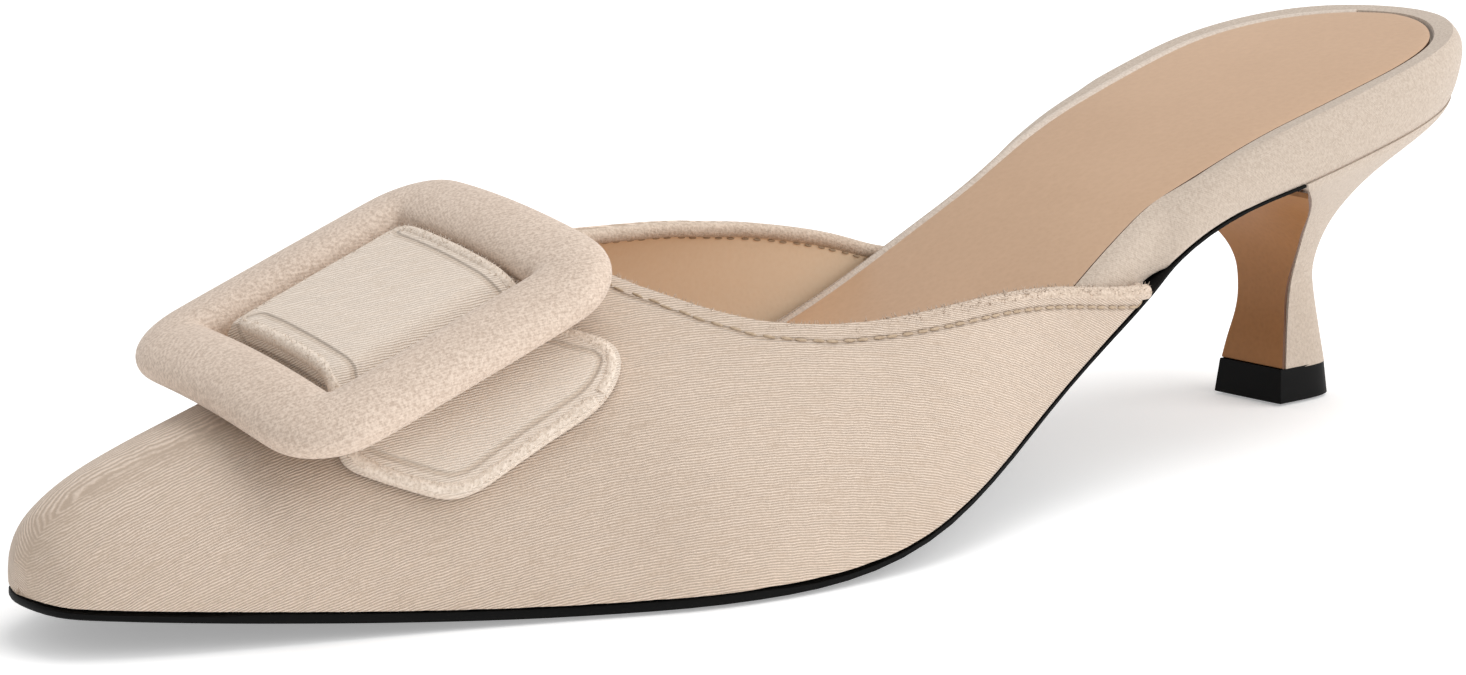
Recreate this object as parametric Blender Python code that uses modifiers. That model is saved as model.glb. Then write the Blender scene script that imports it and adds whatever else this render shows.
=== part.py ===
"""A left kitten heel mule: pointed suede vamp, padded footbed, covered heel and a padded buckle.

The toe points along -X, the outer (lateral) side is -Y and the floor is Z = 0.
Stations along the shoe are measured from the toe tip and written as shares of LENGTH.
"""

import math

import bmesh
import bpy
import numpy as np

# Main sizes, in metres.
LENGTH = 0.2356        # toe tip to back of heel, along the floor
BALL_WIDTH = 0.0788    # widest lateral to widest medial point
INSTEP = 0.0424        # vamp height over the sole at its tallest section
TOE_SPRING = 0.0052    # lift of the sole under the toe tip
HEEL_HEIGHT = 0.0472   # lift of the sole under the back of the heel

# Sheets and their clearances.
GAP = 0.0003           # space left between two pieces that touch
WALL = 0.0016          # upper: suede and lining together
MARGIN = 0.0080        # upper turned in under the footbed
SOLE = 0.0016          # outsole in the forefoot
SOLE_INSET = 0.0002    # outsole edge set back from the upper
WAIST_INSET = 0.0006   # outsole edge set back further from the footbed behind the vamp
FOOTBED = 0.0090       # padded footbed at the heel
TAIL = 0.006           # how far behind the vamp the footbed stays narrow, share of LENGTH
FLARE_IN = 0.0008      # foot of the footbed inside the outline, at the heel
FLARE_OUT = 0.0011     # rim of the footbed outside the outline, at the heel
RIM = 0.0040           # width of the suede rim around the sock
RIM_NARROW = 0.40      # how much narrower the rim is inside the vamp
RIM_ROUND = 0.0020     # rounding of the rim's outer edge
RECESS = 0.0016        # depth of the tray for the sock
SOCK = 0.0011          # sock lining

# Heel, its cover and its tip.
BREAST = 0.8060        # station of the breast at the seat, share of LENGTH
TIP_FRONT = 0.8640     # station of the front of the top piece, share of LENGTH
TIP_LENGTH = 0.0126
TIP_WIDTH = 0.0129
TIP_HEIGHT = 0.0055
TIP_FLARE = 0.0010     # how much the top piece grows towards the floor
TWIST = 0.12           # how far the heel turns from the line of the shoe, as a slope
TIP_SIDE = 0.0029      # top piece centre, towards the medial side
COVER = 0.0009         # breast cover

# Buckle and strap.
BUCKLE_LENGTH = 0.0514     # along the shoe
BUCKLE_WIDTH = 0.0529      # across the shoe
BUCKLE_BAR = 0.0107
BUCKLE_THICK = 0.0059
BUCKLE_CORNER = 0.0108     # outer corner radius
BUCKLE_ARCH = 0.1530       # radius of its bend over the foot
BUCKLE_STATION = 0.2114    # share of LENGTH
BUCKLE_LIFT = 0.0047       # middle of the ring over the ridge of the vamp
BUCKLE_SIDE = 0.0015
BUCKLE_PITCH = math.radians(21.0)
BUCKLE_ROLL = math.radians(5.4)
BUCKLE_YAW = math.radians(-2.1)
STRAP_THICK = 0.0022
STRAP_LENGTH = 0.0500      # across the shoe, over the curve of the vamp
STRAP_WIDTH = 0.0305       # along the shoe, at its free ends
STRAP_WAIST = 0.0254       # along the shoe, inside the buckle
STRAP_CORNER = 0.0085
STRAP_SINK = 0.0015        # top of its padded middle below the top of the buckle
STRAP_STATION = 0.2158     # where it crosses the ridge, share of LENGTH
STRAP_SLANT = 0.0072       # how far its tab sits behind its middle
STRAP_SHIFT = -0.0086      # middle of the strap from the ridge, towards the lateral side

COLUMNS = 40               # stations along a sole piece
WAIST = (0.666, 0.676, 0.684, 0.692, 0.702)   # more of them behind the vamp, shares of its length
FRONT = 26                 # stations along the upper

# Outline of the sole: lateral and medial edge, shares of BALL_WIDTH.
OUTLINE = (
    ("along", "lateral", "medial"),
    (0.000, 0.030, 0.030),
    (0.008, -0.080, 0.116),
    (0.025, -0.116, 0.160),
    (0.045, -0.148, 0.202),
    (0.105, -0.221, 0.298),
    (0.165, -0.284, 0.372),
    (0.215, -0.341, 0.425),
    (0.270, -0.412, 0.469),
    (0.330, -0.484, 0.494),
    (0.390, -0.506, 0.490),
    (0.445, -0.503, 0.458),
    (0.510, -0.460, 0.386),
    (0.575, -0.390, 0.319),
    (0.635, -0.343, 0.287),
    (0.672, -0.324, 0.274),
    (0.700, -0.309, 0.270),
    (0.760, -0.304, 0.293),
    (0.820, -0.306, 0.321),
    (0.885, -0.300, 0.338),
    (0.925, -0.276, 0.315),
    (0.955, -0.232, 0.267),
    (0.980, -0.155, 0.188),
    (1.000, 0.012, 0.012),
)

# Underside of the sole: lift as a share of TOE_SPRING, rise as a share of HEEL_HEIGHT,
# and the outsole and footbed thickness as shares of SOLE and FOOTBED.
SIDE = (
    ("along", "lift", "rise", "sole", "footbed"),
    (0.000, 1.000, 0.000, 0.80, 0.56),
    (0.045, 0.790, 0.000, 0.90, 0.56),
    (0.110, 0.470, 0.000, 1.00, 0.56),
    (0.170, 0.210, 0.000, 1.00, 0.56),
    (0.220, 0.060, 0.000, 1.00, 0.56),
    (0.265, 0.000, 0.000, 1.00, 0.56),
    (0.375, 0.000, 0.000, 1.00, 0.57),
    (0.412, 0.000, 0.010, 0.94, 0.60),
    (0.442, 0.000, 0.034, 0.82, 0.65),
    (0.475, 0.000, 0.085, 0.66, 0.69),
    (0.522, 0.000, 0.180, 0.52, 0.75),
    (0.575, 0.000, 0.308, 0.46, 0.83),
    (0.614, 0.000, 0.406, 0.45, 0.93),
    (0.648, 0.000, 0.491, 0.45, 1.00),
    (0.675, 0.000, 0.570, 0.45, 0.97),
    (0.705, 0.000, 0.659, 0.45, 0.90),
    (0.736, 0.000, 0.726, 0.45, 0.87),
    (0.768, 0.000, 0.772, 0.36, 0.93),
    (0.806, 0.000, 0.803, 0.34, 1.05),
    (0.850, 0.000, 0.854, 0.34, 1.08),
    (0.891, 0.000, 0.902, 0.34, 1.09),
    (0.934, 0.000, 0.948, 0.34, 1.09),
    (0.976, 0.000, 0.987, 0.34, 1.09),
    (1.000, 0.000, 1.000, 0.34, 1.08),
)

# Sections of the last: height over the sole as a share of INSTEP, ridge as a share of
# BALL_WIDTH and roundness, where 1 is an ellipse and less is squarer.
LAST = (
    ("along", "height", "ridge", "round"),
    (0.000, 0.090, 0.030, 1.00),
    (0.011, 0.200, 0.036, 0.97),
    (0.025, 0.262, 0.042, 0.95),
    (0.048, 0.330, 0.048, 0.94),
    (0.080, 0.400, 0.054, 0.94),
    (0.120, 0.480, 0.060, 0.95),
    (0.170, 0.586, 0.064, 0.96),
    (0.212, 0.686, 0.064, 0.97),
    (0.255, 0.786, 0.060, 0.98),
    (0.300, 0.872, 0.052, 1.00),
    (0.350, 0.940, 0.040, 1.00),
    (0.425, 1.000, 0.010, 1.00),
    (0.510, 1.000, -0.020, 1.00),
    (0.595, 0.920, -0.030, 1.00),
    (0.680, 0.800, -0.030, 1.00),
)

# Topline of the vamp: height over the sole edge as a share of the section's height.
TOPLINE = (
    ("along", "lateral", "medial"),
    (0.322, 1.000, 1.000),
    (0.327, 0.962, 0.990),
    (0.334, 0.920, 0.970),
    (0.341, 0.888, 0.950),
    (0.357, 0.829, 0.915),
    (0.382, 0.750, 0.872),
    (0.403, 0.708, 0.840),
    (0.433, 0.670, 0.803),
    (0.464, 0.632, 0.754),
    (0.500, 0.568, 0.655),
    (0.540, 0.485, 0.534),
    (0.584, 0.365, 0.372),
    (0.630, 0.196, 0.150),
    (0.662, 0.062, 0.030),
    (0.672, 0.000, 0.000),
)

# Heel sections from the tip up: share of the way up to the seat, front and back as shares
# of LENGTH, half width and centre as shares of BALL_WIDTH, corner power, share of the seat's
# own outline.
HEEL = (
    ("up", "front", "back", "half", "centre", "power", "seat"),
    (0.372, 0.8790, 0.9126, 0.057, 0.040, 2.6, 0.00),
    (0.465, 0.8786, 0.9090, 0.063, 0.035, 2.4, 0.00),
    (0.559, 0.8748, 0.9108, 0.080, 0.026, 2.2, 0.00),
    (0.646, 0.8667, 0.9174, 0.109, 0.020, 2.0, 0.10),
    (0.741, 0.8544, 0.9290, 0.156, 0.016, 2.0, 0.30),
    (0.835, 0.8374, 0.9450, 0.216, 0.015, 2.0, 0.60),
    (0.916, 0.8200, 0.9752, 0.269, 0.013, 2.0, 0.85),
    (0.968, 0.8090, 0.9926, 0.296, 0.008, 2.0, 1.00),
    (1.000, 0.8060, 0.9966, 0.300, 0.005, 2.0, 1.00),
)

# Colour, roughness and metallic value of each covering.
FINISH = {
    "suede": ((0.80, 0.66, 0.52), 0.95),
    "trim": ((0.82, 0.67, 0.54), 0.95),
    "sock": ((0.63, 0.43, 0.27), 0.55),
    "breast": ((0.33, 0.16, 0.08), 0.50),
    "rubber": ((0.010, 0.010, 0.011), 0.45),
}


def column(table, name):
    """One named column of a table as numbers."""
    at = table[0].index(name)
    return np.array([row[at] for row in table[1:]], float)


def curve(xs, ys, at):
    """Smooth curve through the points (xs, ys) that never overshoots them."""
    xs, ys, at = np.asarray(xs, float), np.asarray(ys, float), np.asarray(at, float)
    step = np.diff(xs)
    slope = np.diff(ys) / step
    tangent = np.zeros_like(ys)
    before, after = slope[:-1], slope[1:]
    w1, w2 = 2 * step[1:] + step[:-1], step[1:] + 2 * step[:-1]
    same = before * after > 0
    tangent[1:-1][same] = ((w1 + w2)[same]
                           / (w1[same] / before[same] + w2[same] / after[same]))
    tangent[0], tangent[-1] = slope[0], slope[-1]
    at = np.clip(at, xs[0], xs[-1])
    i = np.clip(np.searchsorted(xs, at, side="right") - 1, 0, len(xs) - 2)
    t = (at - xs[i]) / step[i]
    return (ys[i] * (1 + 2 * t) * (1 - t) ** 2 + ys[i + 1] * t * t * (3 - 2 * t)
            + step[i] * (tangent[i] * t * (1 - t) ** 2 - tangent[i + 1] * t * t * (1 - t)))


def ease(t):
    """Smooth step from 0 to 1."""
    t = np.clip(t, 0, 1)
    return t * t * (3 - 2 * t)


def turn(along):
    """Stretch both ends of the shoe so that round ends are smooth in this measure."""
    return np.arccos(1 - 2 * np.clip(along, 0, 1)) / math.pi


def edge(s, side):
    """Y of the sole's edge at station s, in metres."""
    return BALL_WIDTH * curve(turn(column(OUTLINE, "along")), column(OUTLINE, side),
                              turn(np.asarray(s) / LENGTH))


def side_view(s, name):
    return curve(column(SIDE, "along"), column(SIDE, name), np.asarray(s) / LENGTH)


def underside(s):
    """Height of the outsole's lower face."""
    return TOE_SPRING * side_view(s, "lift") + HEEL_HEIGHT * side_view(s, "rise")


def sole_top(s):
    """Height of the outsole's upper face, which is also the heel seat."""
    return underside(s) + SOLE * side_view(s, "sole")


def footbed_top(s):
    return sole_top(s) + FOOTBED * side_view(s, "footbed")


def last(s, name):
    return curve(column(LAST, "along"), column(LAST, name), np.asarray(s) / LENGTH)


def ridge(s):
    return BALL_WIDTH * last(s, "ridge")


def feather(s):
    """Height of the edge where the upper turns in under the footbed."""
    return sole_top(s) + GAP


def section(s, angle):
    """Point on the outside of the upper: angle 0 is the lateral feather edge, pi the medial."""
    s, angle = np.asarray(s, float), np.asarray(angle, float)
    middle, power = ridge(s), last(s, "round")
    across = np.abs(np.cos(angle)) ** power
    y = np.where(np.cos(angle) > 0, middle + (edge(s, "lateral") - middle) * across,
                 middle + (edge(s, "medial") - middle) * across)
    z = feather(s) + INSTEP * last(s, "height") * np.abs(np.sin(angle)) ** power
    return np.stack([s, y, z], -1)


def lean(s, height):
    """How far the upper has come in from the sole's edge at a height over the feather edge."""
    s = np.asarray(s, float)
    share = np.clip(height / (INSTEP * last(s, "height")), 0, 0.98)
    power = last(s, "round")
    across = (1 - share ** (2 / power)) ** (power / 2)
    wide = np.maximum(ridge(s) - edge(s, "lateral"), edge(s, "medial") - ridge(s))
    return wide * (1 - across)


def covered(s, over=0.045):
    """1 where the upper wraps the footbed, easing to 0 over a share of LENGTH behind it."""
    end = (column(TOPLINE, "along")[-1] + TAIL) * LENGTH
    return 1 - ease((np.asarray(s) - end) / (over * LENGTH))


def tray(s):
    """Width of the suede rim around the sock."""
    return RIM * (1 - RIM_NARROW * covered(s, 0.110))


def flare(s, up):
    """How far the side of the footbed stands inside the outline at a share of its height."""
    at_heel = ease((np.asarray(s) / LENGTH - 0.70) / 0.10)
    return (FLARE_IN - (FLARE_IN + FLARE_OUT) * min(1.3 * up, 1)) * at_heel


def inset_ring(inset, count=COLUMNS):
    """The sole's outline moved in by inset(s), as (s, y) pairs around from the toe tip."""
    u = np.linspace(0, 1, 241)
    s = LENGTH * (1 - np.cos(math.pi * u)) / 2
    loop = np.concatenate([np.stack([s, edge(s, "lateral")], 1),
                           np.stack([s, edge(s, "medial")], 1)[-2:0:-1]])
    along = np.roll(loop, -1, 0) - np.roll(loop, 1, 0)
    inward = np.stack([-along[:, 1], along[:, 0]], 1)
    inward /= np.linalg.norm(inward, axis=1)[:, None]
    depth = inset(loop[:, 0]) + np.zeros(len(loop))
    moved = loop + inward * depth[:, None]
    reach = np.linalg.norm(moved[:, None] - loop[None], axis=2).min(1)
    keep = reach > depth * 0.985 - 1e-6
    lateral = moved[:241][keep[:241]]
    medial = np.concatenate([moved[240:], moved[:1]])[::-1]
    medial = medial[np.concatenate([keep[240:], keep[:1]])[::-1]]
    lateral, medial = lateral[np.argsort(lateral[:, 0])], medial[np.argsort(medial[:, 0])]
    front = (lateral[0] + medial[0]) / 2
    back = (lateral[-1] + medial[-1]) / 2
    share = (1 - np.cos(math.pi * np.linspace(0, 1, count + 1)[1:-1])) / 2
    s = front[0] + (back[0] - front[0]) * np.sort(np.append(share, WAIST))
    left = np.stack([s, np.interp(s, lateral[:, 0], lateral[:, 1])], 1)
    right = np.stack([s, np.interp(s, medial[:, 0], medial[:, 1])], 1)
    return np.concatenate([[front], left, [back], right[::-1]])


def level(ring, height):
    """Give each (s, y) pair of a ring the height height(s)."""
    return np.column_stack([ring, height(ring[:, 0])])


def stack_rings(rings):
    """Closed body through rings of equal count, capped by strips across the first and last."""
    count = len(rings[0])
    half = count // 2
    faces = []
    for low in range(len(rings) - 1):
        for i in range(count):
            j = (i + 1) % count
            a, b = low * count, (low + 1) * count
            faces.append((a + i, a + j, b + j, b + i))
    for start in (0, (len(rings) - 1) * count):
        faces.append((start, start + 1, start + count - 1))
        for i in range(1, half - 1):
            faces.append((start + i, start + i + 1, start + count - i - 1, start + count - i))
        faces.append((start + half - 1, start + half, start + half + 1))
    return np.concatenate(rings), faces


def tube_rings(rings):
    """Closed ring-shaped body through loops that come back to the first one."""
    count = len(rings[0])
    faces = []
    for a in range(len(rings)):
        b = (a + 1) % len(rings)
        for i in range(count):
            j = (i + 1) % count
            faces.append((a * count + i, a * count + j, b * count + j, b * count + i))
    return np.concatenate(rings), faces


def grid_faces(rows, columns):
    return [(r * columns + c, r * columns + c + 1, (r + 1) * columns + c + 1,
             (r + 1) * columns + c) for r in range(rows - 1) for c in range(columns - 1)]


def make(name, points, faces, finish, sharp=35):
    """Object from points given as station, y and height, with its faces pointing out."""
    points = np.asarray(points, float) - (LENGTH / 2, 0, 0)
    mesh = bpy.data.meshes.new(name)
    mesh.from_pydata([tuple(map(float, p)) for p in points], [], faces)
    bm = bmesh.new()
    bm.from_mesh(mesh)
    bmesh.ops.remove_doubles(bm, verts=bm.verts, dist=0.00001)
    bmesh.ops.dissolve_degenerate(bm, edges=bm.edges, dist=0.00001)
    bmesh.ops.recalc_face_normals(bm, faces=bm.faces)
    bm.to_mesh(mesh)
    bm.free()
    mesh.shade_smooth()
    mesh.set_sharp_from_angle(angle=math.radians(sharp))
    mesh.materials.append(materials[finish])
    piece = bpy.data.objects.new(name, mesh)
    shoe.objects.link(piece)
    return piece


def cutter(name, low, high):
    """Hidden box between two corners given as station, y and height."""
    bpy.ops.mesh.primitive_cube_add(size=1)
    box = bpy.context.object
    box.name = name
    low, high = np.array(low), np.array(high)
    box.location = (low + high) / 2 - (LENGTH / 2, 0, 0)
    box.scale = high - low
    bpy.ops.object.transform_apply(location=False, rotation=False, scale=True)
    for home in list(box.users_collection):
        home.objects.unlink(box)
    cutters.objects.link(box)
    box.hide_render = True
    box.display_type = "WIRE"
    return box


def cut(piece, tool):
    trim = piece.modifiers.new("cut_" + tool.name, "BOOLEAN")
    trim.operation = "DIFFERENCE"
    trim.object = tool


for old in list(bpy.data.objects):
    bpy.data.objects.remove(old, do_unlink=True)

shoe = bpy.data.collections.new("kitten_heel_mule")
cutters = bpy.data.collections.new("cutters")
bpy.context.scene.collection.children.link(shoe)
bpy.context.scene.collection.children.link(cutters)

materials = {}
for covering, (colour, rough) in FINISH.items():
    material = bpy.data.materials.new(covering)
    material.use_nodes = True
    shader = material.node_tree.nodes["Principled BSDF"]
    shader.inputs["Base Color"].default_value = (*colour, 1)
    shader.inputs["Roughness"].default_value = rough
    shader.inputs["Metallic"].default_value = 0.0
    materials[covering] = material

# Outsole: a thin sheet under the whole outline, cut off square at the heel breast.
breast_at = BREAST * LENGTH
rows = []
for inset, up in ((0.35, 0.0), (0.0, 0.20), (0.0, 0.85), (0.25, 1.0)):
    ring = inset_ring(lambda s, k=inset: SOLE_INSET + k * SOLE / 2 + WAIST_INSET * (1 - covered(s)))
    rows.append(level(ring, lambda s, k=up: underside(s) + k * SOLE * side_view(s, "sole")))
outsole = make("outsole", *stack_rings(rows), "rubber")
cut(outsole, cutter("behind_breast", (breast_at - GAP, -BALL_WIDTH, -HEEL_HEIGHT),
                    (LENGTH * 1.1, BALL_WIDTH, 2 * HEEL_HEIGHT)))

# Upper: lines run from the toe to the topline; the front row closes on itself.
angles = np.radians([0, 4, 9, 14, 19, 24, 28, 31.5, 34.5, 37, 39.5, 43, 48, 55, 64, 76, 90])
topline = {side: curve(-column(TOPLINE, side), column(TOPLINE, "along"), -np.sin(angles))
           for side in ("lateral", "medial")}
lines = []
share = np.linspace(0, 1, FRONT) ** 1.45
for side, turned in (("lateral", False), ("medial", True)):
    half = []
    for angle, end in zip(angles, topline[side]):
        s = LENGTH * end * share
        half.append(section(s, math.pi - angle if turned else angle))
    s = LENGTH * topline[side][0] * share
    rim, middle = edge(s, side), ridge(s)
    reach = np.minimum(MARGIN, np.abs(rim - middle))
    for part in (0.5, 1.0):
        y = rim + np.sign(middle - rim) * reach * part
        half.insert(0, np.stack([s, y, feather(s)], 1))
    lines += half[::-1][1:] if turned else half
upper = make("upper", np.concatenate(lines), grid_faces(len(lines), FRONT), "suede", 60)
wall = upper.modifiers.new("wall", "SOLIDIFY")
wall.thickness = WALL
wall.offset = -1
wall.use_even_offset = True
wall.use_quality_normals = True

# Footbed: bottom step for the lasting margin, rounded rim, tray for the sock.
under = WALL + 2 * GAP
rows = []
for inset, base, up in ((MARGIN + 3 * GAP, 0, 0), (MARGIN + GAP, 1, 0), (0.0004, 1, 0),
                        (0.0, 1, 0.12), (0.0, 1, 0.55), (0.25 * RIM_ROUND, 1, 0.82),
                        (RIM_ROUND, 1, 1.0), (RIM - GAP, 1, 0.97), (RIM, 1, -1)):
    def height(s, base=base, up=up):
        low = sole_top(s) + GAP + base * under * covered(s, 0.016)
        high = footbed_top(s)
        return high - RECESS if up < 0 else low + (high - low) * up

    def depth(s, inset=inset, up=up):
        top = footbed_top(s) - sole_top(s)
        held = WALL + 2 * GAP + lean(s, top * abs(up))
        if inset > MARGIN:
            own = inset
        elif inset > RIM_ROUND:
            own = inset - RIM + tray(s)
        else:
            own = inset + flare(s, up)
        return own + held * covered(s, 0.020 + 0.050 * abs(up))
    rows.append(level(inset_ring(depth), height))
make("footbed", *stack_rings(rows), "suede")

# Sock lining: a sheet in the tray.
rows = []
for inset, up in ((0.0, 0.0), (0.0, 0.7), (0.0004, 1.0)):
    def sock_depth(s, inset=inset):
        held = WALL + 2 * GAP + lean(s, footbed_top(s) - sole_top(s))
        return (tray(s) + GAP + inset + held * covered(s, 0.070)
                + RIM * np.clip(1 - 5 * s / LENGTH, 0, 1))
    rows.append(level(inset_ring(sock_depth),
                      lambda s, k=up: footbed_top(s) - RECESS + GAP + k * SOCK))
make("sock_lining", *stack_rings(rows), "sock")

# Heel: D-shaped sections that grow from the tip into the outline of the seat.
alpha = np.linspace(math.pi / 2, 0, 11)


def heel_ring(front, back, half, centre, power, seat):
    """Plan of the heel at one height, from the lateral front corner round the back."""
    run = np.cos(alpha) ** (2 / power)
    s = front + (back - front) * run
    wide = np.sin(alpha) ** (2 / power)
    own = breast_at + (LENGTH - breast_at) * np.cos(alpha)
    base = (edge(breast_at, "medial") - edge(breast_at, "lateral")) / 2
    mid = (edge(breast_at, "medial") + edge(breast_at, "lateral")) / 2
    s = s * (1 - seat) + (front + (back - front) * np.cos(alpha)) * seat
    sides = []
    for side, sign in (("lateral", -1), ("medial", 1)):
        plan = np.abs(edge(own, side) - mid) / base
        sides.append(centre + sign * half * (wide * (1 - seat) + plan * seat))
    left = np.stack([s, sides[0]], 1)
    right = np.stack([s, sides[1]], 1)
    left[-1] = right[-1] = (left[-1] + right[-1]) / 2
    for half_ring in (left, right):
        half_ring[:, 0] -= TWIST * (half_ring[:, 1] - centre) * (1 - seat)
    front_mid = (left[0] + right[0]) / 2
    return np.concatenate([[front_mid], left, right[-2::-1]])


def heel_rows():
    """Sections of the heel with heights that tilt from the floor to the seat."""
    tip_front = TIP_FRONT * LENGTH
    ring = heel_ring(tip_front + COVER + 2 * GAP, tip_front + TIP_LENGTH - TIP_FLARE / 2,
                     (TIP_WIDTH - TIP_FLARE) / 2, TIP_SIDE, 4.0, 0)
    found = [level(ring, lambda s: TIP_HEIGHT + GAP + 0 * s)]
    for up, front, back, half, centre, power, seat in HEEL[1:]:
        ring = heel_ring(front * LENGTH, back * LENGTH, half * BALL_WIDTH,
                         centre * BALL_WIDTH, power, seat)
        found.append(level(ring, lambda s, up=up: up * sole_top(s)))
    return found


heel_sections = heel_rows()
make("heel", *stack_rings(heel_sections), "suede", 50)

# Top piece: squarer D under the heel, wider at the floor.
rows = []
for grow, z in ((-0.0004, 0.0), (0.0, 0.0004), (-0.5 * TIP_FLARE, TIP_HEIGHT)):
    start = TIP_FRONT * LENGTH - grow
    ring = heel_ring(start, start + TIP_LENGTH + 2 * grow, TIP_WIDTH / 2 + grow, TIP_SIDE, 4.0, 0)
    rows.append(level(ring, lambda s, z=z: z + 0 * s))
make("top_piece", *stack_rings(rows), "rubber", 50)

# Breast cover: a sheet on the front of the heel, from the outsole down to the top piece.
rise = np.linspace(TIP_HEIGHT + 2 * GAP, underside(breast_at) - 2 * GAP, 14)
edges = []
for corner in (1, -1):
    front = np.array([ring[corner] for ring in heel_sections])
    line = np.stack([curve(front[:, 2], front[:, 0], rise), rise], 1)
    run = np.gradient(line, axis=0)
    out = np.stack([-run[:, 1], run[:, 0]], 1) / np.linalg.norm(run, axis=1)[:, None]
    edges.append((line, out, curve(front[:, 2], front[:, 1], rise)))
rows = []
for off, (line, out, y) in ((1.2 * GAP, edges[0]), (1.2 * GAP, edges[1]),
                            (GAP + COVER, edges[1]), (GAP + COVER, edges[0])):
    at = line + out * off
    rows.append(np.column_stack([at[:, 0], y, at[:, 1]]))
points = np.stack(rows, 1).reshape(-1, 3)
faces = []
for r in range(len(rise) - 1):
    for c in range(4):
        a, b = r * 4 + c, r * 4 + (c + 1) % 4
        faces.append((a, b, b + 4, a + 4))
faces += [(0, 1, 2, 3), tuple(len(points) - k for k in (1, 2, 3, 4))]
make("heel_breast", points, faces, "breast")


def buckle_place(along, across, up):
    """Local buckle coordinates, bent over the foot and set on the vamp."""
    bend = across / BUCKLE_ARCH
    y, z = (BUCKLE_ARCH + up) * np.sin(bend), (BUCKLE_ARCH + up) * np.cos(bend) - BUCKLE_ARCH
    p = np.stack([along + 0 * y, y, z], -1)
    cp, sp = math.cos(BUCKLE_PITCH), math.sin(BUCKLE_PITCH)
    cr, sr = math.cos(BUCKLE_ROLL), math.sin(BUCKLE_ROLL)
    cy, sy = math.cos(BUCKLE_YAW), math.sin(BUCKLE_YAW)
    rolled = p @ np.array([[1, 0, 0], [0, cr, -sr], [0, sr, cr]]).T
    pitched = rolled @ np.array([[cp, 0, -sp], [0, 1, 0], [sp, 0, cp]]).T
    turned = pitched @ np.array([[cy, -sy, 0], [sy, cy, 0], [0, 0, 1]]).T
    s = BUCKLE_STATION * LENGTH
    top = section(s, math.pi / 2)[2]
    return turned + (s, BUCKLE_SIDE, top + BUCKLE_LIFT)


# Buckle: a flattened round bar swept round a rectangle with round corners.
long, wide = (BUCKLE_LENGTH - BUCKLE_BAR) / 2, (BUCKLE_WIDTH - BUCKLE_BAR) / 2
radius = BUCKLE_CORNER - BUCKLE_BAR / 2
path = []
for sign_a, sign_b, first in ((1, 1, 0), (-1, 1, 90), (-1, -1, 180), (1, -1, 270)):
    for k in range(7):
        t = math.radians(first + 15 * k)
        path.append((sign_a * (long - radius) + radius * math.cos(t),
                     sign_b * (wide - radius) + radius * math.sin(t), t))
full = []
for i, (a, b, t) in enumerate(path):
    full.append((a, b, t))
    na, nb, _ = path[(i + 1) % len(path)]
    if (i + 1) % 7 == 0:
        full += [(a + (na - a) * k / 5, b + (nb - b) * k / 5, t) for k in (1, 2, 3, 4)]
around = np.linspace(0, 2 * math.pi, 14, endpoint=False)
rows = []
for a, b, t in full:
    out = BUCKLE_BAR / 2 * np.sign(np.cos(around)) * np.abs(np.cos(around)) ** 0.85
    up = BUCKLE_THICK / 2 * np.sign(np.sin(around)) * np.abs(np.sin(around)) ** 0.85
    rows.append(buckle_place(a + out * math.cos(t), b + out * math.sin(t), up))
make("buckle", *tube_rings(rows), "trim", 80)

# Strap: a sheet over the vamp, narrower and lifted where the buckle holds it.
ROWS, BANDS = 25, 9
centre_s = STRAP_STATION * LENGTH
fan = np.linspace(0, math.pi, 361)


def over_vamp(s, walk):
    """Point and outward direction on the vamp at a walk across it from the ridge."""
    ring = section(np.full_like(fan, s), fan)
    paces = np.concatenate([[0], np.cumsum(np.linalg.norm(np.diff(ring, axis=0), axis=1))])
    paces -= np.interp(math.pi / 2, fan, paces)
    angle = np.interp(walk, paces, fan)
    here = section(s, angle)
    ahead = section(s + 0.0005, angle) - section(s - 0.0005, angle)
    beside = section(s, angle + 0.002) - section(s, angle - 0.002)
    out = np.cross(ahead, beside)
    return here, out / np.linalg.norm(out)


def buckle_level(s, y):
    """Height of the padded middle of the strap, set a little below the top of the buckle."""
    across = y - BUCKLE_SIDE
    up = BUCKLE_THICK / 2 - STRAP_SINK - across ** 2 / (2 * BUCKLE_ARCH)
    up += across * math.sin(BUCKLE_ROLL)
    start = BUCKLE_STATION * LENGTH
    return (section(start, math.pi / 2)[2] + BUCKLE_LIFT + up / math.cos(BUCKLE_PITCH)
            + (s - start) * math.tan(BUCKLE_PITCH))


walks = STRAP_SHIFT + STRAP_LENGTH * (np.sin(np.linspace(-math.pi / 2, math.pi / 2, ROWS))) / 2
window = BUCKLE_WIDTH / 2 - BUCKLE_BAR
sheets = {0: [], 1: []}
for walk in walks:
    from_end = STRAP_LENGTH / 2 - abs(walk - STRAP_SHIFT)
    here, out = over_vamp(centre_s, walk)
    across = (here + out * STRAP_THICK)[1] - BUCKLE_SIDE
    outside = ease((abs(across) - 0.8 * window) / (0.24 * window))
    half = (STRAP_WAIST + (STRAP_WIDTH - STRAP_WAIST) * outside) / 2
    middle = centre_s + STRAP_SLANT * ease((-across - window) / (0.9 * BUCKLE_BAR))
    if from_end < STRAP_CORNER:
        short = STRAP_CORNER - from_end
        half -= STRAP_CORNER - math.sqrt(max(STRAP_CORNER ** 2 - short ** 2, 0))
    for column_at in np.linspace(-1, 1, BANDS):
        here, out = over_vamp(middle + half * column_at, walk)
        top = here + out * (1.2 * GAP + STRAP_THICK)
        top[2] += (1 - outside) * max(buckle_level(top[0], top[1]) - top[2], 0)
        sheets[0].append(here + out * 1.2 * GAP)
        sheets[1].append(top)
low = grid_faces(ROWS, BANDS)
count = ROWS * BANDS
faces = low + [tuple(count + v for v in face) for face in low]
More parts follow.
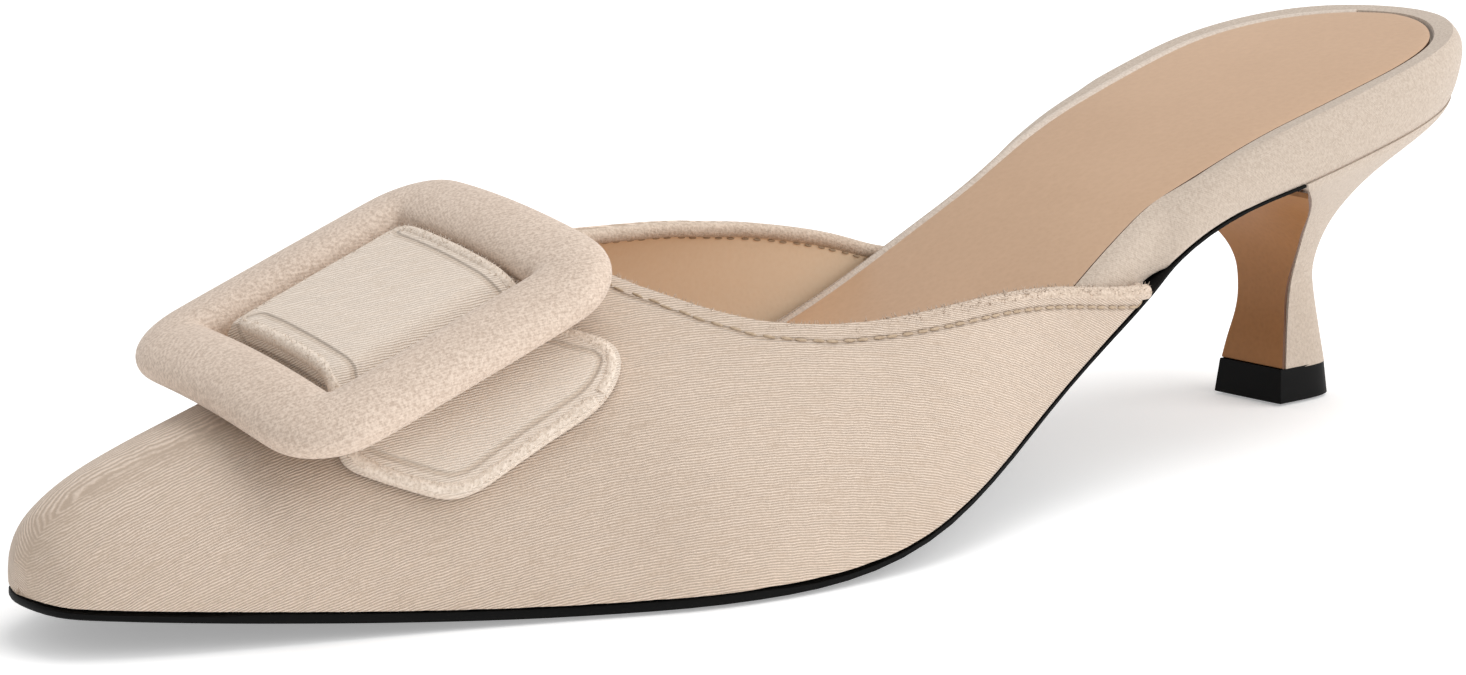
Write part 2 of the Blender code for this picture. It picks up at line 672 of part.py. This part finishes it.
border = ([c for c in range(BANDS)] + [r * BANDS + BANDS - 1 for r in range(1, ROWS)]
          + [(ROWS - 1) * BANDS + c for c in range(BANDS - 2, -1, -1)]
          + [r * BANDS for r in range(ROWS - 2, 0, -1)])
for i, a in enumerate(border):
    b = border[(i + 1) % len(border)]
    faces.append((a, b, b + count, a + count))
make("strap", sheets[0] + sheets[1], faces, "trim")
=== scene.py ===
"""A left kitten heel mule in beige suede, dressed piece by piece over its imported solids.

The toe points along -X, the lateral side is -Y and the floor is Z = 0, all in metres.
"""

import math
import random

import bmesh
import bpy
from mathutils import Matrix, Vector
from mathutils.bvhtree import BVHTree
from mathutils.kdtree import KDTree


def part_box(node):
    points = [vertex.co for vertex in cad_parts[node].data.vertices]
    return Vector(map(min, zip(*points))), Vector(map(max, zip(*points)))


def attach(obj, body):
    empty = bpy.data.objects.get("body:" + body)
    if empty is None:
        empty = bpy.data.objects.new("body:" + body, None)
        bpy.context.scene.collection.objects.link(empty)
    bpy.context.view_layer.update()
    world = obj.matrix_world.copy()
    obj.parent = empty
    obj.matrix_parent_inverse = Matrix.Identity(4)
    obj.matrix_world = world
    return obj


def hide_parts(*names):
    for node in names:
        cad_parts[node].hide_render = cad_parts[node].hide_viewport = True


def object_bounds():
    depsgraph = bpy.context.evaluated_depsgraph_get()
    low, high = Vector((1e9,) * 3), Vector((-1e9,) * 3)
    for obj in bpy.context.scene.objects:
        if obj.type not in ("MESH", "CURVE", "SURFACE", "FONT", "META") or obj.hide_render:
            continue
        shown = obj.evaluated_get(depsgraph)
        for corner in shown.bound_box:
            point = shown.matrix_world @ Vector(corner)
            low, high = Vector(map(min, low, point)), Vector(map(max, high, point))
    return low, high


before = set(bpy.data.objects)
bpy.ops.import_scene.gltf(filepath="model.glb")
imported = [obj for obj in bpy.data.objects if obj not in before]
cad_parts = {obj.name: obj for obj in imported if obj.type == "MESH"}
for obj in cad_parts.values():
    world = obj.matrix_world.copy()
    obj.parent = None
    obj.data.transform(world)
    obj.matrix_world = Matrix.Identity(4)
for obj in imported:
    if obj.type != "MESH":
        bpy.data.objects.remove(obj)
cad_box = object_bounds()

# Camera and studio.
# The camera stands in front of the toe on the lateral side, a little above the shoe.
# The shoe stands on a pale floor under a wide soft light.
eye = Vector((-0.29964, -0.40291, 0.13423))
right = Vector((0.81226, -0.58312, -0.01432))
forward = Vector((0.56670, 0.79470, -0.21730))
up = right.cross(forward)
lens = bpy.data.cameras.new("photo_camera")
lens.lens = 91.93
lens.sensor_width = 36
lens.clip_start = 0.02
lens.clip_end = 20
camera = bpy.data.objects.new("photo_camera", lens)
bpy.context.scene.collection.objects.link(camera)
camera.matrix_world = Matrix.Translation(eye) @ Matrix((right, up, -forward)).transposed().to_4x4()
bpy.context.scene.camera = camera
bpy.context.scene.view_settings.view_transform = "Standard"

sky = bpy.data.worlds.new("studio")
sky.use_nodes = True
sky.node_tree.nodes["Background"].inputs["Color"].default_value = (1.0, 1.0, 1.0, 1)
sky.node_tree.nodes["Background"].inputs["Strength"].default_value = 0.54
bpy.context.scene.world = sky

for name, place, aim, size, watts in (("overhead", (0.3, -0.1, 1.3), (0, 0, 0), 0.9, 7.0),
                                      ("side", (0.8, -1.1, 0.8), (0.03, 0, 0.03), 1.5, 12.0)):
    lamp = bpy.data.lights.new(name, "AREA")
    lamp.size = size
    lamp.energy = watts
    stand = bpy.data.objects.new(name, lamp)
    bpy.context.scene.collection.objects.link(stand)
    stand.location = place
    stand.rotation_euler = (Vector(aim) - Vector(place)).to_track_quat("-Z", "Y").to_euler()

sheet = bmesh.new()
bmesh.ops.create_grid(sheet, x_segments=1, y_segments=1, size=4.0,
                      matrix=Matrix.Translation((0, 0, cad_box[0][2] - 0.0001)))
floor_mesh = bpy.data.meshes.new("floor")
sheet.to_mesh(floor_mesh)
sheet.free()
floor = bpy.data.objects.new("floor", floor_mesh)
bpy.context.scene.collection.objects.link(floor)
paper = bpy.data.materials.new("white_paper")
paper.use_nodes = True
paper.node_tree.nodes["Principled BSDF"].inputs["Base Color"].default_value = (0.93, 0.93, 0.93, 1)
paper.node_tree.nodes["Principled BSDF"].inputs["Roughness"].default_value = 0.9
paper.node_tree.nodes["Principled BSDF"].inputs["Specular IOR Level"].default_value = 0.1
paper.node_tree.nodes["Principled BSDF"].inputs["Emission Color"].default_value = (1, 1, 1, 1)
paper.node_tree.nodes["Principled BSDF"].inputs["Emission Strength"].default_value = 0.33
floor_mesh.materials.append(paper)


# Vamp.
# The pointed upper is one piece of microsuede over a stiffener, with a tan lining inside whose leather is
# painted much lighter than the sock's, as painted light.
# Its topline is turned over a tape and sewn down, and its lower edge is lasted under the footbed.
def merged_copy(node):
    """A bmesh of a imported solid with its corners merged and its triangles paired."""
    bm = bmesh.new()
    bm.from_mesh(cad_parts[node].data)
    bmesh.ops.remove_doubles(bm, verts=bm.verts, dist=2e-6)
    bmesh.ops.join_triangles(bm, faces=bm.faces, angle_face_threshold=math.radians(60),
                             angle_shape_threshold=math.radians(180))
    bm.normal_update()
    return bm


def crisp(bm, degrees, amount=1.0):
    """Crease the edges that turn by more than an angle."""
    crease = bm.edges.layers.float.new("crease_edge")
    for edge in bm.edges:
        if edge.calc_face_angle(0) > math.radians(degrees):
            edge[crease] = amount


def finished(name, bm, surfaces, levels=0, sharp=40, nodes=()):
    """Turn a bmesh into a piece that rides on the shoe."""
    mesh = bpy.data.meshes.new(name)
    bm.to_mesh(mesh)
    bm.free()
    for extra in ("custom_normal", "sharp_edge"):
        if mesh.attributes.get(extra):
            mesh.attributes.remove(mesh.attributes[extra])
    for surface in surfaces:
        mesh.materials.append(surface)
    piece = bpy.data.objects.new(name, mesh)
    bpy.context.scene.collection.objects.link(piece)
    if levels:
        smooth = piece.modifiers.new("smooth", "SUBSURF")
        smooth.levels = smooth.render_levels = levels
        scene_now = bpy.context.evaluated_depsgraph_get()
        piece.data = bpy.data.meshes.new_from_object(piece.evaluated_get(scene_now))
        piece.modifiers.clear()
    piece.data.shade_smooth()
    piece.data.set_sharp_from_angle(angle=math.radians(sharp))
    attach(piece, "root")
    if nodes:
        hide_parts(*nodes)
    return piece


def patch(bm, start, degrees=40):
    """The faces reached from one face without crossing a sharp edge."""
    found, waiting = {start}, [start]
    while waiting:
        for edge in waiting.pop().edges:
            if edge.calc_face_angle(0) < math.radians(degrees):
                for face in edge.link_faces:
                    if face not in found:
                        found.add(face)
                        waiting.append(face)
    return found


def in_order(edges):
    """The corners of a chain of edges, from end to end or once round."""
    near = {}
    for edge in sorted(edges, key=lambda e: sorted(tuple(v.co) for v in e.verts)):
        for vert in edge.verts:
            near.setdefault(vert, []).append(edge)
    here = min(near, key=lambda v: (len(near[v]), v.co.y))
    line, used = [here.co.copy()], set()
    while True:
        ahead = [e for e in near[here] if e not in used]
        if not ahead:
            return line
        used.add(ahead[0])
        here = ahead[0].other_vert(here)
        line.append(here.co.copy())


def evenly(line, pitch):
    """Points at an even pitch along a line."""
    found, left = [line[0].copy()], pitch
    for a, b in zip(line, line[1:]):
        run = (b - a).length
        while left <= run:
            found.append(a.lerp(b, left / run))
            left += pitch
        left -= run
    return found


def add_distance(piece, line, name):
    """Store how far each corner of a piece is from a line, as a named attribute."""
    tree = KDTree(len(line))
    for i, point in enumerate(line):
        tree.insert(point, i)
    tree.balance()
    layer = piece.data.attributes.new(name, "FLOAT", "POINT")
    for vert, value in zip(piece.data.vertices, layer.data):
        value.value = tree.find(vert.co)[2]


def node(tree, kind, inputs=(), **settings):
    """A shader node with its settings and its inputs: numbers, colours or other sockets."""
    made = tree.nodes.new("ShaderNode" + kind)
    for key, value in settings.items():
        setattr(made, key, value)
    for key, value in dict(inputs).items():
        if isinstance(value, bpy.types.NodeSocket):
            tree.links.new(value, made.inputs[key])
        else:
            made.inputs[key].default_value = value
    return made


def blank(name, rough, specular, **more):
    """A material with its Principled shader set, its tree and its object coordinates."""
    material = bpy.data.materials.new(name)
    material.use_nodes = True
    shader = material.node_tree.nodes["Principled BSDF"]
    shader.inputs["Roughness"].default_value = rough
    shader.inputs["Specular IOR Level"].default_value = specular
    for key, value in more.items():
        shader.inputs[key.replace("_", " ")].default_value = value
    at = node(material.node_tree, "TexCoord").outputs["Object"]
    return material, material.node_tree, shader, at


def suede(name, light, dark, ripple, speckle, border=None, across=0.35, bow=2.96):
    """Napped suede: combed ripples, a fine speckle, slow drift, and a sewn groove by a border with painted
    shade in it.
    """
    cloth, tree, shader, at = blank(name, 0.95, 0.12, Sheen_Weight=0.35, Sheen_Roughness=0.4,
                                    Sheen_Tint=(1.0, 0.95, 0.9, 1))
    split = node(tree, "SeparateXYZ", {0: at})
    back = node(tree, "Math", {0: split.outputs["X"], 1: 0.051}, operation="ADD")
    arc = node(tree, "Math", {0: back.outputs[0], 1: 2.0}, operation="POWER")
    arc = node(tree, "Math", {0: arc.outputs[0], 1: bow, 2: split.outputs["Z"]},
               operation="MULTIPLY_ADD")
    half = node(tree, "Math", {0: split.outputs["Y"]}, operation="ABSOLUTE").outputs[0]
    fade = node(tree, "MapRange", {0: half, 1: 0.0, 2: 0.004 if bow else 0.00001, 3: 0.45, 4: 1.0})
    arc = node(tree, "Math", {0: half if bow else split.outputs["Y"], 1: -across,
                              2: arc.outputs[0]}, operation="MULTIPLY_ADD")
    combed = node(tree, "CombineXYZ", {0: split.outputs["X"], 1: split.outputs["Y"],
                                       2: arc.outputs[0]})
    waves = node(tree, "TexWave", {"Vector": combed.outputs[0], "Scale": 900.0,
                                   "Distortion": 4.5, "Detail": 2.0, "Detail Scale": 0.4},
                 bands_direction="Z")
    scaled = node(tree, "Mapping", {"Vector": combed.outputs[0], "Scale": (330, 330, 1500)})
    broken = node(tree, "TexNoise", {"Vector": scaled.outputs[0], "Scale": 1.0, "Detail": 2.0,
                                     "Roughness": 0.55})
    lines = node(tree, "Math", {0: waves.outputs["Fac"], 1: broken.outputs["Fac"]},
                 operation="MULTIPLY")
    lines = node(tree, "Math", {0: lines.outputs[0], 1: fade.outputs[0]}, operation="MULTIPLY")
    lines = node(tree, "Math", {0: lines.outputs[0], 1: 1.0, 2: 0.22}, operation="MULTIPLY_ADD")
    grain = node(tree, "TexNoise", {"Vector": at, "Scale": 2300.0, "Detail": 2.5,
                                    "Roughness": 0.6})
    drift = node(tree, "TexNoise", {"Vector": at, "Scale": 38.0, "Detail": 2.0})
    height = node(tree, "Math", {0: lines.outputs[0], 1: ripple}, operation="MULTIPLY")
    height = node(tree, "Math", {0: grain.outputs["Fac"], 1: speckle, 2: height.outputs[0]},
                  operation="MULTIPLY_ADD")
    low, high = 0.36 * (ripple + speckle), 0.62 * (ripple + speckle)
    shade = node(tree, "MapRange", {0: height.outputs[0], 1: low, 2: high, 3: 0.0, 4: 0.85})
    shade = node(tree, "Math", {0: drift.outputs["Fac"], 1: 0.3, 2: shade.outputs[0]},
                 operation="MULTIPLY_ADD", use_clamp=True)
    colour = node(tree, "Mix", {"Factor": shade.outputs[0], "A": (*dark, 1), "B": (*light, 1)},
                  data_type="RGBA")
    relief = height.outputs[0]
    if border:
        away = node(tree, "Attribute", attribute_name=border[0]).outputs["Fac"]
        step = node(tree, "Math", {0: away, 1: border[1]}, operation="SUBTRACT")
        step = node(tree, "Math", {0: step.outputs[0]}, operation="ABSOLUTE")
        groove = node(tree, "MapRange", {0: step.outputs[0], 1: 0.0, 2: border[2], 3: -2.2,
                                         4: 0.0}, interpolation_type="SMOOTHERSTEP")
        relief = node(tree, "Math", {0: relief, 1: groove.outputs[0]}, operation="ADD").outputs[0]
        # Painted shade: the colour darkens to a deeper brown along the groove.
        painted_groove_shade = node(tree, "MapRange", {0: groove.outputs[0], 1: -2.2, 2: 0.0, 3: 0.4, 4: 0.0})
        colour = node(tree, "Mix", {"Factor": painted_groove_shade.outputs[0], "A": colour.outputs["Result"],
                                    "B": (dark[0] * 0.75, dark[1] * 0.68, dark[2] * 0.6, 1)}, data_type="RGBA")
    bump = node(tree, "Bump", {"Height": relief, "Strength": 0.8, "Distance": 0.00022})
    tree.links.new(colour.outputs["Result"], shader.inputs["Base Color"])
    tree.links.new(bump.outputs["Normal"], shader.inputs["Normal"])
    return cloth


def leather(name, light, dark, rough, scale, depth, coat=0.0):
    """Smooth leather: fine cell grain, slow change of tone and a satin face."""
    hide, tree, shader, at = blank(name, rough, 0.4, Coat_Weight=coat, Coat_Roughness=0.35)
    cells = node(tree, "TexVoronoi", {"Vector": at, "Scale": scale}, feature="SMOOTH_F1")
    fine = node(tree, "TexNoise", {"Vector": at, "Scale": scale * 0.6, "Detail": 3.0})
    drift = node(tree, "TexNoise", {"Vector": at, "Scale": 22.0, "Detail": 2.0})
    height = node(tree, "Math", {0: fine.outputs["Fac"], 1: 0.6, 2: cells.outputs["Distance"]},
                  operation="MULTIPLY_ADD")
    shade = node(tree, "Math", {0: height.outputs[0], 1: 0.35, 2: drift.outputs["Fac"]},
                 operation="MULTIPLY_ADD")
    shade = node(tree, "MapRange", {0: shade.outputs[0], 1: 0.45, 2: 1.0})
    colour = node(tree, "Mix", {"Factor": shade.outputs[0], "A": (*dark, 1), "B": (*light, 1)},
                  data_type="RGBA")
    bump = node(tree, "Bump", {"Height": height.outputs[0], "Strength": 0.35, "Distance": depth})
    tree.links.new(colour.outputs["Result"], shader.inputs["Base Color"])
    tree.links.new(bump.outputs["Normal"], shader.inputs["Normal"])
    return hide


vamp_suede = suede("vamp_suede", (0.78, 0.645, 0.535), (0.47, 0.365, 0.28), 1.0, 0.5,
                   border=("from_topline", 0.0025, 0.0006))
# Painted light: the lining is the sock's tan leather, painted far lighter to stand in for light reaching the
# inside wall.
lining_leather_painted_light = leather("lining_leather_painted_light", (0.98, 0.80, 0.60), (0.94, 0.74, 0.53), 0.5, 1500,
                         0.00006)

FOLD = 0.0011              # radius of the turned topline
SEAM = 0.0025              # from the topline down to its seam
HEM = 0.0019               # width of the suede turned in over the lining
PITCH = 0.0022             # from stitch to stitch
upper = merged_copy("upper")
upper.faces.ensure_lookup_table()
solid = BVHTree.FromBMesh(upper)
top = solid.ray_cast(Vector((-0.06, 0.003, 0.1)), Vector((0, 0, -1)))
below = solid.ray_cast(top[0] - Vector((0, 0, 0.0002)), Vector((0, 0, -1)))
outside = patch(upper, upper.faces[top[2]])
inside = patch(upper, upper.faces[below[2]])
outer_edge = {e for f in outside for e in f.edges
              if any(g not in outside and g.normal.z > -0.6 for g in e.link_faces)}
lip = {g for e in outer_edge for g in e.link_faces if g not in outside}
inner_edge = {e for f in lip for e in f.edges if any(g in inside for g in e.link_faces)}
outer_rim, inner_rim = in_order(outer_edge), in_order(inner_edge)
for face in inside:
    face.material_index = 1
crisp(upper, 60, 0.7)
vamp = finished("vamp", upper, (vamp_suede, lining_leather_painted_light), levels=2, sharp=70,
                nodes=("upper",))
add_distance(vamp, evenly(outer_rim, 0.0004), "from_topline")
add_distance(vamp, evenly(inner_rim, 0.0004), "from_hem")


def eased(line, passes):
    """A line with its corners rounded off."""
    for _ in range(passes):
        line = [line[0]] + [a * 0.25 + b * 0.5 + c * 0.25
                            for a, b, c in zip(line, line[1:], line[2:])] + [line[-1]]
    return line


def nearest(line, place):
    return min(line, key=lambda point: (point - place).length_squared)


def swept(name, line, radius, surface):
    """A round tube along a line."""
    path = bpy.data.curves.new(name, "CURVE")
    path.dimensions = "3D"
    path.bevel_depth = radius
    path.bevel_resolution = 4
    path.use_fill_caps = True
    run = path.splines.new("POLY")
    run.points.add(len(line) - 1)
    for point, place in zip(run.points, line):
        point.co = (*place, 1)
    drawn = bpy.data.objects.new(name, path)
    bpy.context.scene.collection.objects.link(drawn)
    seen = drawn.evaluated_get(bpy.context.evaluated_depsgraph_get())
    tube = bmesh.new()
    tube.from_mesh(bpy.data.meshes.new_from_object(seen))
    bpy.data.objects.remove(drawn)
    return finished(name, tube, (surface,))


def on_wall(edge, other, drop, tree):
    """Each stitch's spot on a wall below its edge, the wall's normal and the way along it."""
    spots, edge, other = [], eased(evenly(edge, PITCH), 2), evenly(other, 0.0004)
    for place, ahead in zip(edge, edge[1:]):
        out = (place - nearest(other, place)).normalized() * 0.001
        first = tree.find_nearest(place + out * 1.3 - Vector((0, 0, drop * 0.8)))[0]
        spot, facing = tree.find_nearest(place + (first - place).normalized() * drop)[:2]
        spots.append((spot, facing, ahead - place))
    return spots


def stitches(name, spots, length, width, thread):
    """Short threads laid end to end along a seam."""
    bm = bmesh.new()
    for spot, facing, along in spots:
        side = facing.cross(along).normalized()
        along = side.cross(facing)
        turn = Matrix((along, side, along.cross(side))).transposed().to_4x4()
        bmesh.ops.create_icosphere(bm, subdivisions=2, radius=0.5,
                                   matrix=Matrix.Translation(spot + facing * 0.00008) @ turn
                                   @ Matrix.Diagonal((length, width, width * 0.8, 1)))
    return finished(name, bm, (thread,), sharp=180)


def loose_hairs(name, line, start, length, count, surface):
    """Short hairs of nap that stand out along an edge."""
    chance = random.Random(count)
    bm = bmesh.new()
    for _ in range(count):
        i = chance.randrange(len(line) - 1)
        lean = Vector((chance.gauss(0, 1), chance.gauss(0, 1), abs(chance.gauss(0.6, 0.7))))
        lean.normalize()
        tall = length * chance.uniform(0.45, 1.0)
        foot = line[i].lerp(line[i + 1], chance.random()) + lean * (start + tall * 0.5)
        bmesh.ops.create_cone(bm, cap_ends=True, segments=3, radius1=0.00008, radius2=0.00002,
                              depth=tall, matrix=Matrix.Translation(foot)
                              @ lean.to_track_quat("Z", "Y").to_matrix().to_4x4())
    return finished(name, bm, (surface,), sharp=180)


fold_suede = suede("fold_suede", (0.74, 0.61, 0.50), (0.52, 0.41, 0.32), 0.1, 1.2)
thread, thread_tree, thread_shader, thread_at = blank("seam_thread", 0.7, 0.2)
twist = node(thread_tree, "TexNoise", {"Vector": thread_at, "Scale": 1500.0, "Detail": 2.0})
tone = node(thread_tree, "Mix", {"Factor": twist.outputs["Fac"], "A": (0.34, 0.24, 0.15, 1),
                                 "B": (0.62, 0.49, 0.36, 1)}, data_type="RGBA")
thread_tree.links.new(tone.outputs["Result"], thread_shader.inputs["Base Color"])

mid_rim = eased(evenly([(p + nearest(inner_rim, p)) * 0.5 - Vector((0, 0, FOLD * 0.7))
                        for p in outer_rim], 0.0012), 4)
swept("topline_fold", mid_rim, FOLD, fold_suede)
wall = BVHTree.FromObject(vamp, bpy.context.evaluated_depsgraph_get())
stitches("topline_seam", on_wall(outer_rim, inner_rim, SEAM, wall), 0.0017, 0.0004, thread)
stitches("hem_seam", on_wall(inner_rim, outer_rim, HEM, wall), 0.0013, 0.0004, thread)
loose_hairs("topline_nap", [p for p in mid_rim if p.y < 0.0], FOLD * 0.9, 0.0009, 1800,
            fold_suede)


# Outsole.
# A thin black sheet under the whole foot, cut off at the breast of the heel.
def rubber(name, tone, rough, scale, depth):
    """Black rubber: faint mottling and a fine moulded grain."""
    block, tree, shader, at = blank(name, rough, 0.1)
    grain = node(tree, "TexNoise", {"Vector": at, "Scale": scale, "Detail": 3.0})
    drift = node(tree, "TexNoise", {"Vector": at, "Scale": 60.0, "Detail": 2.0})
    colour = node(tree, "Mix", {"Factor": drift.outputs["Fac"],
                                "A": (tone * 0.7, tone * 0.7, tone * 0.72, 1),
                                "B": (tone * 1.4, tone * 1.38, tone * 1.35, 1)}, data_type="RGBA")
    bump = node(tree, "Bump", {"Height": grain.outputs["Fac"], "Strength": 0.3,
                               "Distance": depth})
    tree.links.new(colour.outputs["Result"], shader.inputs["Base Color"])
    tree.links.new(bump.outputs["Normal"], shader.inputs["Normal"])
    return block


sole_rubber = rubber("sole_rubber", 0.003, 0.6, 1800, 0.00005)
sole = merged_copy("outsole")
crisp(sole, 50)
finished("sole", sole, (sole_rubber,), levels=1, nodes=("outsole",))

# Footbed cover.
# A padded board wrapped in suede: a band down its side and a round rim about the sock.
band_suede = suede("band_suede", (0.61, 0.515, 0.43), (0.50, 0.41, 0.335), 0.15, 0.9)
board = merged_copy("footbed")
crisp(board, 50, 0.6)
crease = board.edges.layers.float["crease_edge"]
for edge in board.edges:
    if edge[crease] and all(v.normal.z < 0.1 and v.co.x > 0.06 for v in edge.verts):
        edge[crease] = 1.0
for vert in board.verts:
    x, y, z = vert.co
    if 0.035 < x < 0.046 and vert.normal.z < 0.2:
        vert.co.z -= 0.0020 * math.sin(math.pi * (x - 0.035) / 0.011)
    if x > 0.06 and vert.normal.z < 0.1:
        vert.co.z -= 0.0003
finished("footbed_cover", board, (band_suede,), levels=2, nodes=("footbed",))

# Sock.
# Tan leather over thin foam, laid in the tray of the footbed.
sock_leather = leather("sock_leather", (0.64, 0.425, 0.275), (0.565, 0.365, 0.23), 0.42, 1300,
                       0.00005, coat=0.12)
edge_dye = leather("edge_dye", (0.13, 0.055, 0.025), (0.09, 0.035, 0.015), 0.6, 1500, 0.00003)
sock = merged_copy("sock_lining")
crisp(sock, 50, 0.8)
for face in sock.faces:
    face.material_index = int(abs(face.normal.z) < 0.5)
sock.faces.ensure_lookup_table()
sock_top = patch(sock, max(sock.faces, key=lambda f: f.calc_area() * f.normal.z), 40)
out = {tuple(v.co): v.normal.copy() for v in sock.verts}
sock_line = in_order({e for f in sock_top for e in f.edges
                      if any(g not in sock_top for g in e.link_faces)})
far_rim = []
for place in sock_line:
    side = out[tuple(place)]
    side.z = 0.0
    side.normalize()
    if side.y > 0.25 and place.x > -0.02:
        far_rim.append(place + side * 0.0006 - Vector((0, 0, 0.0002)))
far_rim.sort(key=lambda place: place.x)
# Painted light: the far rim's tube wears a lighter copy of the band's suede, so that side of the rim reads
# pale.
far_rim_painted_light_suede = suede("far_rim_painted_light_suede", (0.74, 0.64, 0.55), (0.60, 0.50, 0.42), 0.1, 0.8)
swept("far_rim", eased(evenly(far_rim, 0.002), 3), 0.0014, far_rim_painted_light_suede)
finished("sock", sock, (sock_leather, edge_dye), levels=2, nodes=("sock_lining",))

# Heel cover, breast and top piece.
# The moulded heel is wrapped in the same suede, its front is covered in brown leather and
# its tip is a block of black rubber.
heel_suede = suede("heel_suede", (0.61, 0.515, 0.43), (0.50, 0.41, 0.335), 0.15, 0.9)
heel = merged_copy("heel")
crisp(heel, 50)
for vert in heel.verts:
    if vert.co.z < min(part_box("heel")[0][2], 1) + 0.0005:
        vert.co.z -= 0.0005
finished("heel_cover", heel, (heel_suede,), levels=2, nodes=("heel",))

breast_leather = leather("breast_leather", (0.39, 0.165, 0.05), (0.30, 0.125, 0.036), 0.5, 1500,
                         0.00004)
breast = merged_copy("heel_breast")
crisp(breast, 50)
for vert in breast.verts:
    if vert.co.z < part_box("heel_breast")[0][2] + 0.0012:
        vert.co.z -= 0.0007
    if vert.normal.x < -0.3:
        vert.co.x += 0.0004
for face in breast.faces:
    face.material_index = int(abs(face.normal.y) > 0.6)
finished("breast", breast, (breast_leather, edge_dye), levels=2, nodes=("heel_breast",))

tip_rubber = rubber("tip_rubber", 0.0025, 0.5, 2600, 0.00003)
tip = merged_copy("top_piece")
crisp(tip, 50)
finished("heel_tip", tip, (tip_rubber,), levels=2, nodes=("top_piece",))

# Strap.
# A doubled suede tab that runs over the vamp and under both side bars of the buckle.
strap_suede = suede("strap_suede", (0.92, 0.80, 0.69), (0.66, 0.55, 0.45), 1.0, 0.5,
                    border=("from_hem", 0.0028, 0.0007), across=-0.4, bow=0.0)
strap = merged_copy("strap")
strap.faces.ensure_lookup_table()
highest = max(strap.faces, key=lambda f: f.calc_center_median().z)
face_up = patch(strap, highest, 50)
rim = {e for f in face_up for e in f.edges if any(g not in face_up for g in e.link_faces)}
inner_end = max(v.co.y for e in rim for v in e.verts) - 0.004
hem_points = [p for e in rim for p in evenly((e.verts[0].co, e.verts[1].co), 0.0004)
              if p.y < inner_end]
out = {tuple(v.co): v.normal.copy() for v in strap.verts}
strap_edge = [p - out[tuple(p)] * 0.0011 for p in in_order(rim)]
crisp(strap, 50, 0.5)
tab = finished("tab", strap, (strap_suede,), levels=2, nodes=("strap",))
add_distance(tab, hem_points, "from_hem")
tab_fold_suede = suede("tab_fold_suede", (0.88, 0.76, 0.65), (0.64, 0.53, 0.43), 0.1, 1.0)
strap_edge = eased(evenly(strap_edge, 0.0015), 3)
swept("tab_fold", strap_edge, 0.0010, tab_fold_suede)
loose_hairs("tab_nap", strap_edge, 0.0008, 0.0008, 1500, tab_fold_suede)

# Buckle.
# A rectangular ring of board and foam wrapped in short-napped suede.
buckle_suede = suede("buckle_suede", (0.80, 0.66, 0.55), (0.54, 0.42, 0.335), 0.15, 0.85)
ring = merged_copy("buckle")
buckle = finished("padded_buckle", ring, (buckle_suede,), levels=2, nodes=("buckle",))
